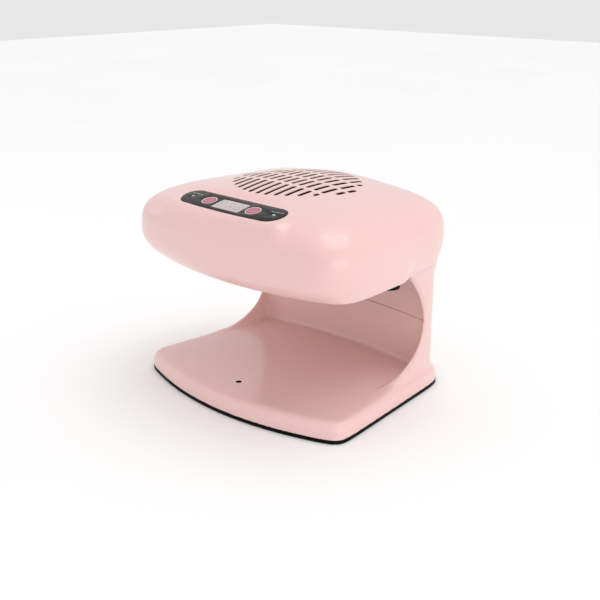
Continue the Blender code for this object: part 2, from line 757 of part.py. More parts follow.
def build_panel_insets():
    """Window, display, buttons with their switches, and indicator lamps, all on the panel's frame."""
    window = box("display_window", (*WINDOW, 1.2 * MM), (0, 0, -0.3 * MM), (0.75, 0.66, 0.65), 0.1)
    tilt_with_panel(window)
    display = box("display_module", (30 * MM, 14 * MM, 5.5 * MM), (0, 0, -4.1 * MM), (0.8, 0.8, 0.8), 0.5)
    tilt_with_panel(display)
    for name, x in (("left", -BUTTON_X), ("right", BUTTON_X)):
        y = PANEL_BOW * x * x
        profile = [
            (0, 1.0 * MM), (BUTTON_R * 0.82, 0.9 * MM), (BUTTON_R, 0.4 * MM),
            (BUTTON_R, -BUTTON_DEPTH), (0, -BUTTON_DEPTH),
        ]
        button = turned(f"button_{name}", profile, (x, y, 0), (0.70, 0.30, 0.38), 0.3, steps=24)
        tilt_with_panel(button)
        centre = (x, y, -BUTTON_DEPTH - BUTTON_TRAVEL - GAP - 1.6 * MM)
        switch = box(f"tact_switch_{name}", (6 * MM, 6 * MM, 3.2 * MM), centre, BLACK, 0.5)
        tilt_with_panel(switch)
    for name, x in (("left", -LED_X), ("right", LED_X)):
        centre = (x, PANEL_BOW * x * x, -3.6 * MM)
        led = cylinder(f"status_led_{name}", LED_R, 6.6 * MM, centre, (0.9, 0.9, 0.9), 0.2, segments=12)
        tilt_with_panel(led)
    board = prism("control_board", stadium(54 * MM, 9 * MM, 4, PANEL_BOW), -8.7 * MM, -7.1 * MM, BOARD, 0.5)
    tilt_with_panel(board)


def build_power_board():
    """Mains board on the pan beside the duct, with its transformer, relay and capacitor."""
    z = PAN_Z + PAN_T + 3 * MM
    x = -94 * MM
    box("power_board", (30 * MM, 66 * MM, 1.6 * MM), (x, -14 * MM, z), BOARD, 0.5)
    top = z + 0.8 * MM + GAP
    centre = (x, -30 * MM, top + 10 * MM)
    box("power_transformer", (24 * MM, 28 * MM, 20 * MM), centre, (0.75, 0.65, 0.2), 0.5)
    box("power_relay", (15 * MM, 19 * MM, 13 * MM), (x, -4 * MM, top + 6.5 * MM), (0.05, 0.15, 0.5), 0.4)
    cylinder("filter_capacitor", 6 * MM, 18 * MM, (x, 12 * MM, top + 9 * MM), (0.08, 0.08, 0.12), 0.4)


def build_sensors():
    """Infrared pair that starts the fan: a receiver under the tray and an emitter in the head."""
    x, y = SENSOR_XY
    dark_glass = (0.05, 0.01, 0.01)
    box("sensor_board", (24 * MM, 16 * MM, 1.2 * MM), (x, y, TRAY_TOP - 9.2 * MM), BOARD, 0.5)
    box("sensor_receiver", (5 * MM, 5 * MM, 4.5 * MM), (x, y, TRAY_TOP - 6.05 * MM), BLACK, 0.3)
    lens_centre = (x, y, TRAY_TOP - 1.9 * MM)
    cylinder("sensor_lens", SENSOR_R - GAP, 2.4 * MM, lens_centre, dark_glass, 0.05, segments=20)
    emitter_centre = (x, y, PAN_Z + 3.2 * MM)
    cylinder("sensor_emitter", 2.3 * MM, 7 * MM, emitter_centre, dark_glass, 0.05, segments=16)


def smooth_route(corners, step):
    """Points every step along a Catmull-Rom curve through the corners."""
    points = []
    ends = [corners[0]] + corners + [corners[-1]]
    for a, b, c, d in zip(ends, ends[1:], ends[2:], ends[3:]):
        a, b, c, d = (Vector(p) for p in (a, b, c, d))
        count = max(1, round((c - b).length / step))
        for i in range(count):
            t = i / count
            square = (2 * a - 5 * b + 4 * c - d) * t**2
            cube = (3 * b - a - 3 * c + d) * t**3
            points.append(0.5 * (2 * b + (c - a) * t + square + cube))
    return points + [Vector(corners[-1])]


def build_wiring():
    """Two looms that run up inside the column: mains from the gland, and the sensor's."""
    mains = [(62, 85.6, 36), (58, 85, 48), (48, 85, 78), (38, 85.4, 110), (34, 86, 122), (34, 84, 140)]
    sensor = [
        (-2.2, -61, 7), (-11, 0, 7), (-14, 60, 7), (-20, 84, 9),
        (-24, 85.5, 40), (-26, 86, 118), (-26, 84, 134),
    ]
    for name, route, radius in (("mains_loom", mains, 1.9 * MM), ("sensor_loom", sensor, 1.1 * MM)):
        corners = [tuple(v * MM for v in point) for point in route]
        tube(name, smooth_route(corners, 10 * MM), radius, BLACK)


def build():
    global PARTS, CUTTERS
    clear_scene()
    PARTS = new_collection("nail_dryer")
    CUTTERS = new_collection("cutters", helper=True)
    panel_frame = bpy.data.objects.new("panel_frame", None)
    PARTS.objects.link(panel_frame)
    panel_frame.location = PANEL_CENTRE
    panel_frame.rotation_euler.x = PANEL_TILT
    fan_axis = bpy.data.objects.new("fan_axis", None)
    PARTS.objects.link(fan_axis)
    fan_axis.location = (*FAN_XY, FAN_BOTTOM + 13 * MM)
    build_base_plate()
    build_feet()
    build_base_shell()
    build_base_screws()
    build_inner_back_panel()
    build_gland()
    build_head_cover()
    build_underside_pan()
    build_pan_screws()
    build_nozzle()
    build_outlet_grille()
    build_air_duct()
    build_fan_frame()
    build_fan_screws()
    build_motor()
    build_impeller(fan_axis)
    build_heater()
    build_control_panel()
    build_panel_insets()
    build_power_board()
    build_sensors()
    build_wiring()


build()
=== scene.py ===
"""Looks of the two-hand nail dryer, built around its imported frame.

Shapes are worked out in millimetres and turned to metres when they become meshes. +Z is up, and
the open front faces -Y.
"""
import json
import math
from collections import namedtuple

import bmesh
import bpy
import numpy as np
from mathutils import Matrix, Vector
from mathutils.bvhtree import BVHTree


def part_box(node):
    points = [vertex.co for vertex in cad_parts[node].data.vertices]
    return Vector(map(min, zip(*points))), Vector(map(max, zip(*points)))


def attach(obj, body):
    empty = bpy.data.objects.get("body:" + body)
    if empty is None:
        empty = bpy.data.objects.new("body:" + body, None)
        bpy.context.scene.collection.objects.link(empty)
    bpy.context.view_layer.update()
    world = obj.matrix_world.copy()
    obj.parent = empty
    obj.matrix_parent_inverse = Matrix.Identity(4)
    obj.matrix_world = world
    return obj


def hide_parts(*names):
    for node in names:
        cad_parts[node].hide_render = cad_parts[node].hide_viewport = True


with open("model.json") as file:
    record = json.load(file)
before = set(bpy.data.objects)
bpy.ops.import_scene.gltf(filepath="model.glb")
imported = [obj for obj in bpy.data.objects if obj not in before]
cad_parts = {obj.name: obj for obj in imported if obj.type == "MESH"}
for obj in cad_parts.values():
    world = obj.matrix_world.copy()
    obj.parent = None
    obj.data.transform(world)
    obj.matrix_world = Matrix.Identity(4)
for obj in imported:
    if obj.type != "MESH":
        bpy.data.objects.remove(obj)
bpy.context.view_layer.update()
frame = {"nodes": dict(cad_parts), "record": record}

MM = 0.001
HOUSING = "housing"
ROUND = 400

# ---------------------------------------------------------------- driving dimensions
#
# A dimension that the CAD has too is the same there, except for BASE's half width, taper and front_n,
# SLOT_W, SENSOR_R, FACET_X and FACET_Y, which differ a little for the look.

Plan = namedtuple("Plan", "half_width taper front front_bow rear rear_bow front_n rear_n")
BOW_X = 125.0  # half width at which each plan's front_bow and rear_bow are measured
BASE = Plan(117.8, 0.101, 103.3, 26.6, 97.7, 4.0, 24, 12)
RIM = Plan(119.9, 0.050, 91.6, 23.2, 97.0, 8.0, 12, 8)
BELLY = Plan(122.5, 0.086, 104.1, 15.5, 104.1, 15.6, 9, 10)
CROWN = Plan(104.6, 0.086, 105.1, 15.5, 107.5, 15.6, 3.7, 2.2)

SHELL_BOTTOM = 3.3
TRAY_TOP = 18.2
SEAM_Z = 66.4
SWEEP_Z = 105.0
RIM_Z = 121.0
BELLY_Z = 148.7
CROWN_Z = 196.9
CROWN_Y = 14.3
CROWN_M = 2.84
CROWN_N = 2.76
SHOULDER_RHO = 0.5
MERGE_Y = (8.0, 34.0)  # the skirt turns into the column over this stretch
SKIRT_POWER = 2.5
WALL = 2.5
GAP = 0.3
OPEN_TOP = 140.0  # a level clear above the base shell

TRAY_ROUND = 14.0
TRAY_POWER = 3.3
COLUMN_INSET = 6.0
FLARE_HEIGHT = 27.0
CHEEK_X = 103.0
WALL_Y = 76.5
WALL_BOW = 10.5
PANEL_SKIN = 1.8
BAY_FRONT = 55.0
SENSOR = (-2.2, -72.0)
SENSOR_R = 2.8
GLAND = (62.0, 91.8, 34.0)
GLAND_R = 5.8
CHEEK_EDGE = [
    (12, 130), (22, 122.5), (40, 112), (53, 95.5), (60, 80), (62, 68.5), (60, 53),
    (52, 39.5), (42, 31.5), (29, 25), (12, 20), (-8, 15), (-30, 9), (-50, 2),
]

FAN_Y = 2.0
VALLEY_HALF = (59.5, 54.5)
VALLEY_DEPTH = 1.44
VALLEY_FALL = (0.3, 1.15)  # where the valley falls and rises again, as shares of VALLEY_HALF
VALLEY_RISE = (1.15, 1.8)
GRILLE_Y = 4.4
GRILLE_HALF = (59.8, 57.2)
SLOT_PITCH = 8.95
SLOT_COLUMNS = 14
SLOT_W = 4.2
# below SLOT_LIP the slot walls carry painted shade
SLOT_LIP = 0.55  # depth of the skin's colour inside each slot
SLOT_LEVELS = (168, 206)
RAY_TOP = 300  # a level above the head, for rays cast down onto it
MIN_SLOT = 1.6  # shortest slot kept, in slot widths
BRIDGE_PITCH = 23.6
BRIDGE_W = 3.4

PANEL_CENTRE = Vector((0.0, -78.6, 184.6))
PANEL_TILT = math.radians(11.3)
PANEL_HALF = 60.7
PANEL_R = 13.0
PANEL_BOW = 0.00069
PANEL_LEVELS = (-1.6, 0.4)
FACET_X = (63, 77)
FACET_Y = (14, 24)
FACET_LOW = BELLY_Z + 10
WINDOW = (32.6, 16.6)
DIGIT_PITCH = 10.2
DIGIT_SLANT = 0.10
DIGIT_LEVELS = (0.26, 0.33)
BUTTON_X = 27.1
BUTTON_R = 5.7
LED_X = 50.0
LED_HOLE_R = 1.7
MARKS = ((0, 2.2), (2.9, 1.1), (4.7, 3.0), (8.4, 1.6), (10.7, 2.4))  # start and length of each dash
MARK_START = 7.0
MARK_Y = 5.2
MARK_HALF = 0.35
MARK_LEVELS = (0.38, 0.43)

FEET = ("foot_front_left", "foot_front_right", "foot_rear_left", "foot_rear_right")
PLATE_RINGS = ((0.25, 0.7), (0.35, 0.3), (0.6, -0.15), (3.65, -0.15), (3.85, 0.1), (3.85, 2.0))
SCREW_HEAD_R = 3.4
SCREW_R = 1.8

FIELD_STEP = 1.25
FIELD_LOW = (-125.2, -106.4, 0.7)
FIELD_HIGH = (125.2, 101.2, 123.5)
EDGE_BLEND = 6.5
POCKET_BLEND = 2.5
WALL_BLEND = 1.6
SKIN_BLEND = 0.5

CAMERA_AT = (0.5824, -0.6128, 0.3799)
CAMERA_HEADING = (-0.6447, 0.6869, -0.3348)
CAMERA_LENS = 57.0
SKY_HEADING = (-0.2, -0.25, -1)
FLOOR_HALF = 4000
BLOCK_FACES = ((3, 2, 1, 0), (4, 5, 6, 7), (0, 1, 5, 4), (1, 2, 6, 5), (2, 3, 7, 6), (3, 0, 4, 7))


# ---------------------------------------------------------------- small maths

def smooth_step(value, low, high):
    t = np.clip((value - low) / (high - low), 0, 1)
    return t * t * (3 - 2 * t)


def soft_min(a, b, k):
    h = np.clip(0.5 + 0.5 * (b - a) / k, 0, 1)
    return b + (a - b) * h - k * h * (1 - h)


def soft_max(a, b, k):
    return -soft_min(-a, -b, k)


def plan_radius(plan, angle):
    """Distance from a plan's centre to its outline: the sides and bows blended by a power norm."""
    c, s = np.cos(angle), np.sin(angle)
    front = plan.front_bow * c * c / BOW_X**2
    rear = plan.rear_bow * c * c / BOW_X**2
    reach = (
        plan.half_width / np.maximum(abs(c) + plan.taper * s, 1e-6),
        2 * plan.front / np.maximum(-s + np.sqrt(s * s + 4 * front * plan.front), 1e-6),
        2 * plan.rear / np.maximum(s + np.sqrt(s * s + 4 * rear * plan.rear), 1e-6),
    )
    n = np.where(s > 0, plan.rear_n, plan.front_n).astype(float)
    return sum(r**-n for r in reach) ** (-1 / n)


def bearings(count=ROUND):
    """Angles round the plan, closer together at its corners."""
    even = math.tau * (np.arange(count) + 0.5) / count
    return even + 0.15 * np.sin(4 * even)


def outline(plan, inset=0.0, count=ROUND):
    angle = bearings(count)
    radius = plan_radius(plan, angle) - inset
    return np.stack([radius * np.cos(angle), radius * np.sin(angle)], axis=1)


def flare(z):
    t = np.clip((z - SHELL_BOTTOM) / FLARE_HEIGHT, 0, 1)
    return COLUMN_INSET * (1 - (1 - t) ** 2.5)


def lean(z):
    """Share of the belly's outline in the column's: an S-curve that starts at SWEEP_Z."""
    return 1 - smooth_step(BELLY_Z - z, 0, BELLY_Z - SWEEP_Z)


def back_wall_y(x):
    return WALL_Y - WALL_BOW * (x / CHEEK_X) ** 2


# ---------------------------------------------------------------- mesh helpers

def piece_from(name, points, faces, material, sharp=35.0):
    """A named object from points in millimetres."""
    mesh = bpy.data.meshes.new(name)
    mesh.from_pydata([tuple(p) for p in np.asarray(points, float) * MM], [], faces)
    bm = bmesh.new()
    bm.from_mesh(mesh)
    bmesh.ops.recalc_face_normals(bm, faces=bm.faces)
    bm.to_mesh(mesh)
    bm.free()
    mesh.shade_smooth()
    mesh.set_sharp_from_angle(angle=math.radians(sharp))
    obj = bpy.data.objects.new(name, mesh)
    bpy.context.scene.collection.objects.link(obj)
    if material:
        mesh.materials.append(material)
    return obj


def ring_faces(rows, count):
    """Quads between successive closed rings of the same count."""
    faces = []
    for row in range(rows - 1):
        for i in range(count):
            j = (i + 1) % count
            a, b = row * count, (row + 1) * count
            faces.append((a + i, a + j, b + j, b + i))
    return faces


def loft(name, rings, material, sharp=35.0):
    """A skin through closed rings of the same count, with a flat cap at each end."""
    count = len(rings[0])
    last = (len(rings) - 1) * count
    faces = ring_faces(len(rings), count)
    faces += [tuple(range(count)), tuple(range(last, last + count))]
    return piece_from(name, np.concatenate(rings), faces, material, sharp)


def prism(name, flat, low, high, material=None):
    rings = [[(x, y, z) for x, y in flat] for z in (low, high)]
    return loft(name, rings, material)


def box(name, size, centre, material=None):
    sx, sy, sz = (v / 2 for v in size)
    flat = [(centre[0] + x, centre[1] + y) for x, y in ((-sx, -sy), (sx, -sy), (sx, sy), (-sx, sy))]
    return prism(name, flat, centre[2] - sz, centre[2] + sz, material)


def turned(name, profile, material, steps=48):
    """A profile of (radius, z) turned about Z. A radius of 0 at an end closes that end."""
    angles = math.tau * np.arange(steps) / steps
    rings = []
    for radius, z in profile:
        r = max(radius, 1e-3)
        rings.append([(r * math.cos(a), r * math.sin(a), z) for a in angles])
    return loft(name, rings, material)


def stadium(half_length, radius, steps, bow=0.0):
    """A bar with round ends along X. bow bends it towards +Y."""
    points = []
    for side in (1, -1):
        for i in range(steps + 1):
            angle = math.pi * (i / steps - 0.5)
            x = side * (half_length - radius + radius * math.cos(angle))
            points.append((x, side * radius * math.sin(angle) + bow * x * x))
    return points


def straight_steps(flat, step):
    """The same closed outline with its long edges divided, so that it bends smoothly."""
    out = []
    for a, b in zip(flat, flat[1:] + flat[:1]):
        a, b = np.array(a), np.array(b)
        count = max(1, int(np.linalg.norm(b - a) / step))
        out += [tuple(a + (b - a) * i / count) for i in range(count)]
    return out


def bevel(obj, width, segments, angle=30.0):
    modifier = obj.modifiers.new("Edge", "BEVEL")
    modifier.width = width * MM
    modifier.segments = segments
    modifier.limit_method = "ANGLE"
    modifier.angle_limit = math.radians(angle)
    modifier.harden_normals = False
    return obj


def cut(obj, *tools):
    """Subtracts the tools. A tool's own material, if it has one, is left on the faces it cuts."""
    for tool in tools:
        modifier = obj.modifiers.new("Cut", "BOOLEAN")
        modifier.operation = "DIFFERENCE"
        modifier.object = tool
        modifier.material_mode = "TRANSFER" if tool.data.materials else "INDEX"
    return obj


def settle(obj, *helpers, sharp=35.0):
    """Applies obj's modifiers to its mesh and removes the helper objects."""
    bpy.context.view_layer.update()
    graph = bpy.context.evaluated_depsgraph_get()
    mesh = bpy.data.meshes.new_from_object(obj.evaluated_get(graph))
    obj.modifiers.clear()
    obj.data = mesh
    mesh.shade_smooth()
    mesh.set_sharp_from_angle(angle=math.radians(sharp))
    for helper in helpers:
        bpy.data.objects.remove(helper)
    return obj


def place(obj, body, *nodes, slot=None):
    """Fixes a finished piece to its body, in place of the CAD nodes that it stands for."""
    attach(obj, body)
    if nodes:
        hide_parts(*nodes)
    return obj


def on_panel(obj):
    """Moves a piece from the panel's own axes to its tilted place on the head."""
    tilt = Matrix.Rotation(PANEL_TILT, 4, "X")
    obj.data.transform(Matrix.Translation(PANEL_CENTRE * MM) @ tilt)
    return obj


# ---------------------------------------------------------------- materials

class Nodes:
    """A Principled material under construction."""

    def __init__(self, name):
        self.material = bpy.data.materials.new(name)
        self.material.use_nodes = True
        self.tree = self.material.node_tree
        self.shader = self.tree.nodes["Principled BSDF"]
        self.coords = self.tree.nodes.new("ShaderNodeTexCoord").outputs["Object"]
        self.last_normal = None

    def set(self, **values):
        for key, value in values.items():
            self.shader.inputs[key.replace("_", " ")].default_value = value
        return self

    def noise(self, scale, detail=2.0, stretch=(1, 1, 1)):
        vector = self.coords
        if stretch != (1, 1, 1):
            mapping = self.tree.nodes.new("ShaderNodeMapping")
            mapping.inputs["Scale"].default_value = stretch
            self.tree.links.new(vector, mapping.inputs["Vector"])
            vector = mapping.outputs["Vector"]
        node = self.tree.nodes.new("ShaderNodeTexNoise")
        node.inputs["Scale"].default_value = scale
        node.inputs["Detail"].default_value = detail
        self.tree.links.new(vector, node.inputs["Vector"])
        return node.outputs["Fac"]

    def voronoi(self, scale):
        node = self.tree.nodes.new("ShaderNodeTexVoronoi")
        node.inputs["Scale"].default_value = scale
        self.tree.links.new(self.coords, node.inputs["Vector"])
        return node.outputs["Distance"]

    def spread(self, value, low, high):
        node = self.tree.nodes.new("ShaderNodeMapRange")
        node.inputs["From Min"].default_value = 0.3
        node.inputs["From Max"].default_value = 0.7
        node.inputs["To Min"].default_value = low
        node.inputs["To Max"].default_value = high
        self.tree.links.new(value, node.inputs["Value"])
        return node.outputs["Result"]

    def colours(self, value, first, second):
        node = self.tree.nodes.new("ShaderNodeMix")
        node.data_type = "RGBA"
        node.inputs["A"].default_value = (*first, 1)
        node.inputs["B"].default_value = (*second, 1)
        self.tree.links.new(self.spread(value, 0, 1), node.inputs["Factor"])
        self.tree.links.new(node.outputs["Result"], self.shader.inputs["Base Color"])
        return self

    def roughness(self, value, low, high):
        self.tree.links.new(self.spread(value, low, high), self.shader.inputs["Roughness"])
        return self

    def bump(self, value, strength, depth):
        node = self.tree.nodes.new("ShaderNodeBump")
        node.inputs["Strength"].default_value = strength
        node.inputs["Distance"].default_value = depth
        self.tree.links.new(value, node.inputs["Height"])
        if self.last_normal:
            self.tree.links.new(self.last_normal, node.inputs["Normal"])
        self.last_normal = node.outputs["Normal"]
        self.tree.links.new(self.last_normal, self.shader.inputs["Normal"])
        return self


def tone(colour, factor):
    return tuple(min(1.0, c * factor) for c in colour)


def moulded(name, colour, rough, grain=(900, 0.00002), coat=0.0, variation=0.03, shine=0.5):
    """Moulded plastic: broad uneven tone, faint flow marks in the gloss and a fine skin."""
    m = Nodes(name)
    m.set(Coat_Weight=coat, Coat_Roughness=0.06, Specular_IOR_Level=shine)
    m.colours(m.noise(14, 3), tone(colour, 1 - variation), tone(colour, 1 + variation))
    m.roughness(m.noise(60, 4), rough * 0.85, rough * 1.15)
    m.bump(m.noise(grain[0], 2), 0.35, grain[1])
    return m.material


def pink_plastic():
    """Glossy pale pink ABS with a slight orange peel."""
    m = Nodes("pink_gloss")
    m.set(Coat_Weight=0.35, Coat_Roughness=0.05, IOR=1.5)
    m.colours(m.noise(9, 3), (0.850, 0.560, 0.530), (0.870, 0.585, 0.555))
    m.roughness(m.noise(45, 4), 0.20, 0.27)
    m.bump(m.noise(260, 2), 0.10, 0.00006)
    m.bump(m.noise(2400, 1), 0.08, 0.00001)
    return m.material


def brushed(name, colour, rough, stretch=(1, 12, 1)):
    m = Nodes(name)
    m.set(Metallic=1.0)
    m.colours(m.noise(300, 3, stretch), tone(colour, 0.86), tone(colour, 1.08))
    m.roughness(m.noise(500, 3, stretch), rough * 0.75, rough * 1.3)
    m.bump(m.noise(900, 2, stretch), 0.25, 0.00002)
    return m.material


def rubber_skin(colour):
    m = Nodes("rubber_black")
    m.colours(m.noise(80, 4), tone(colour, 0.8), tone(colour, 1.5))
    m.roughness(m.noise(220, 3), 0.72, 0.9)
    m.bump(m.noise(1500, 3), 0.5, 0.00004)
    return m.material


def circuit_board():
    m = Nodes("board_mask")
    m.set(Coat_Weight=0.3, Coat_Roughness=0.2)
    m.colours(m.voronoi(420), (0.012, 0.11, 0.045), (0.03, 0.21, 0.085))
    m.roughness(m.noise(150, 3), 0.3, 0.45)
    m.bump(m.voronoi(420), 0.3, 0.00003)
    return m.material


def make_materials():
    return {
        "pink_shell": pink_plastic(),
        "black_base": moulded("black_moulded", (0.004, 0.004, 0.004), 0.5, (1600, 0.00004), shine=0.06),
        "rubber": rubber_skin((0.018, 0.018, 0.019)),
        "charcoal": moulded("charcoal_satin", (0.019, 0.017, 0.016), 0.3, (2200, 0.00002), shine=0.16),
        "window": moulded("window_pale", (0.60, 0.50, 0.50), 0.16, (500, 0.00001), 0.6, 0.06),
        "button": moulded("button_rose", (0.50, 0.115, 0.18), 0.25, (900, 0.00002), 0.3, 0.05),
        "led": moulded("lamp_clear", (0.42, 0.50, 0.52), 0.12, (700, 0.00001), 0.6),
        "sensor_glass": moulded("infrared_glass", (0.006, 0.002, 0.002), 0.2, (600, 0.00001), shine=0.15),
        "steel": brushed("zinc_steel", (0.62, 0.62, 0.64), 0.28),
        "motor_steel": brushed("motor_can", (0.50, 0.50, 0.52), 0.34, (1, 1, 14)),
        "mica": moulded("mica_sheet", (0.62, 0.54, 0.38), 0.55, (700, 0.00005), 0.0, 0.18),
        "heater_wire": brushed("nichrome", (0.34, 0.30, 0.27), 0.4, (6, 1, 1)),
        "board": circuit_board(),
        "component": moulded("component_black", (0.045, 0.045, 0.05), 0.42, (1400, 0.00003)),
        "display": moulded("digit_block", (0.72, 0.70, 0.70), 0.4, (1200, 0.00002)),
        "wire": moulded("wire_sleeve", (0.02, 0.02, 0.02), 0.5, (1800, 0.00003)),
        # painted shade: near-black on the walls of the slots and of the sensor hole, standing in for the
        # shade deep inside them
        "vent": moulded("painted_hole_shade", (0.012, 0.007, 0.007), 0.6, (1600, 0.00002), shine=0.1),
        "ring": moulded("ring_pale", (0.86, 0.60, 0.63), 0.3, (1500, 0.00001)),
        "print": moulded("print_pale", (0.62, 0.60, 0.60), 0.45, (1800, 0.00001)),
        "digit": moulded("digit_dim", (0.50, 0.39, 0.40), 0.2, (1200, 0.00001)),
    }


# ---------------------------------------------------------------- head cover

def skirt_points(t):
    """The head's skin between the belly, t = 0, and the rim, t = 1."""
    z = BELLY_Z + (RIM_Z - BELLY_Z) * t
    rim, belly = outline(RIM), outline(BELLY)
    column = outline(BASE, COLUMN_INSET) * (1 - lean(z)) + belly * lean(z)
    convex = belly + (rim - belly) * t**SKIRT_POWER
    merged = smooth_step(belly[:, 1:], *MERGE_Y)
    flat = convex * (1 - merged) + column * merged
    return np.column_stack([flat, np.full(len(flat), z)])


def crown_points(rho):
    """The head's skin at a fraction rho of the way out from the crown to the belly."""
    z = BELLY_Z + (CROWN_Z - BELLY_Z) * (1 - rho**CROWN_M) ** (1 / CROWN_N)
    squared = smooth_step(rho, SHOULDER_RHO, 1)
    flat = (outline(CROWN) * (1 - squared) + outline(BELLY) * squared) * rho + (0, CROWN_Y * (1 - rho))
    reach = np.hypot(flat[:, 0] / VALLEY_HALF[0], (flat[:, 1] - FAN_Y) / VALLEY_HALF[1])
    valley = VALLEY_DEPTH * (smooth_step(reach, *VALLEY_FALL) - smooth_step(reach, *VALLEY_RISE))
    return panel_facet(np.column_stack([flat, z - valley]))


def panel_facet(points):
    """Eases the skin onto the flat, tilted facet that carries the control panel."""
    x, y, z = points.T
    across = abs(y - PANEL_CENTRE.y - PANEL_BOW * x * x)
    weight = (1 - smooth_step(abs(x), *FACET_X)) * (1 - smooth_step(across, *FACET_Y))
    weight = np.where(z < FACET_LOW, 0, weight)
    plane = PANEL_CENTRE.z + (y - PANEL_CENTRE.y) * math.tan(PANEL_TILT)
    return np.column_stack([x, y, z + weight * (plane - z)])


def head_skin(material):
    """The outer skin as one open surface from the rim to the crown."""
    rings = [skirt_points(t) for t in np.linspace(1, 0, 30)]
    steps = 52
    for i in range(1, steps):
        rings.append(crown_points(math.cos(math.pi / 2 * i / steps) ** (2 / CROWN_M)))
    count = ROUND
    faces = ring_faces(len(rings), count)
    points = np.vstack(rings + [panel_facet(np.array([[0.0, CROWN_Y, CROWN_Z]]))])
    last = (len(rings) - 1) * count
    faces += [(last + i, last + (i + 1) % count, len(points) - 1) for i in range(count)]
    return piece_from("head_cover_skin", points, faces, material)


def slot_spans(x):
    """Lengths of one column of slots between the bridges, clipped by the grille's outline."""
    half = GRILLE_HALF[1] * math.sqrt(1 - (x / GRILLE_HALF[0]) ** 2)
    low, high = GRILLE_Y - half, GRILLE_Y + half
    bridges = [GRILLE_Y + row * BRIDGE_PITCH for row in (-1, 0, 1)]
    ends = [low] + [y for y in bridges if low < y < high] + [high]
    spans = []
    for a, b in zip(ends, ends[1:]):
        start = a + (BRIDGE_W / 2 if a != low else 0)
        stop = b - (BRIDGE_W / 2 if b != high else 0)
        if stop - start > SLOT_W * MIN_SLOT:
            spans.append((start, stop))
    return spans


def slot_cutter(skin, lip_paint, painted_shade):
    """The slots' cutter: its walls are the skin's colour for a short lip, and below it painted near-black
    as the shade deep in each slot.
    """
    low, high = SLOT_LEVELS
    vertices = [v.co for v in skin.data.vertices]
    tree = BVHTree.FromPolygons(vertices, [p.vertices for p in skin.data.polygons])
    points, faces, dark = [], [], []
    for column in range(SLOT_COLUMNS):
        x = (column - (SLOT_COLUMNS - 1) / 2) * SLOT_PITCH
        for start, stop in slot_spans(x):
            bar = stadium((stop - start) / 2, SLOT_W / 2, 6)
            shape = [(x + v, (start + stop) / 2 + u) for u, v in bar]
            first, count = len(points), len(shape)
            lips = []
            for px, py in shape:
                hit = tree.ray_cast(Vector((px, py, RAY_TOP)) * MM, Vector((0, 0, -1)))[0]
                lips.append((px, py, hit.z / MM - SLOT_LIP))
            points += [(px, py, low) for px, py in shape] + lips + [(px, py, high) for px, py in shape]
            top = first + 2 * count
            faces += [tuple(range(first, first + count)), tuple(range(top, top + count))]
            dark += [1, 0]
            for level in (0, 1):
                base = first + level * count
                for i in range(count):
                    j = (i + 1) % count
                    faces.append((base + i, base + j, base + count + j, base + count + i))
                    dark.append(1 - level)
    cutter = piece_from("slot_cutter", points, faces, lip_paint)
    cutter.data.materials.append(painted_shade)
    cutter.data.polygons.foreach_set("material_index", dark)
    return cutter


def make_head_cover(paint):
    cover = head_skin(paint["pink_shell"])
    wall = cover.modifiers.new("Wall", "SOLIDIFY")
    wall.thickness = WALL * MM
    wall.offset = -1
    wall.use_even_offset = True
    # the slot walls below the lip get painted shade
    slots = slot_cutter(cover, paint["pink_shell"], paint["vent"])
    around = stadium(PANEL_HALF + GAP, PANEL_R + GAP, 16, PANEL_BOW)
    opening = on_panel(prism("panel_cutter", around, -8, 8))
    cut(cover, slots, opening)
    settle(cover, slots, opening)
    weighted = cover.modifiers.new("Normals", "WEIGHTED_NORMAL")
    weighted.keep_sharp = True
    weighted.weight = 70
    return place(cover, HOUSING, "head_cover", slot="pink_shell")


# ---------------------------------------------------------------- base shell

def edge_curve(per_span=8):
    """The cheeks' concave edge as a smooth closed outline in (y, z)."""
    points = [np.array(p, float) for p in CHEEK_EDGE]
    ends = [points[0]] + points + [points[-1]]
    curve = [(-150.0, 130.0)]
    for a, b, c, d in zip(ends, ends[1:], ends[2:], ends[3:]):
        for i in range(per_span):
            t = i / per_span
            square, cube = 2 * a - 5 * b + 4 * c - d, 3 * b - a - 3 * c + d
            curve.append(tuple(0.5 * (2 * b + (c - a) * t + square * t**2 + cube * t**3)))
    return np.array(curve + [tuple(points[-1]), (-150.0, 2.0)])


EDGE = edge_curve()


def edge_gap(y, z):
    """Signed distance to the cheeks' edge: negative in the open hand space."""
    y, z = np.broadcast_arrays(y, z)
    nearest = np.full(y.shape, np.inf)
    inside = np.zeros(y.shape, bool)
    for (y0, z0), (y1, z1) in zip(EDGE, np.roll(EDGE, -1, axis=0)):
        dy, dz = y1 - y0, z1 - z0
        t = np.clip(((y - y0) * dy + (z - z0) * dz) / (dy * dy + dz * dz), 0, 1)
        nearest = np.minimum(nearest, np.hypot(y - y0 - t * dy, z - z0 - t * dz))
        if dz != 0:
            crosses = ((z0 > z) != (z1 > z)) & (y < dy * (z - z0) / dz + y0)
            inside ^= crosses
    return np.where(inside, -nearest, nearest)


TABLE_ANGLES = np.linspace(-math.pi, math.pi, 4097)
BASE_TABLE = plan_radius(BASE, TABLE_ANGLES)
BELLY_TABLE = plan_radius(BELLY, TABLE_ANGLES)
SLOPE_TABLE = BASE_TABLE / np.hypot(BASE_TABLE, np.gradient(BASE_TABLE, TABLE_ANGLES))


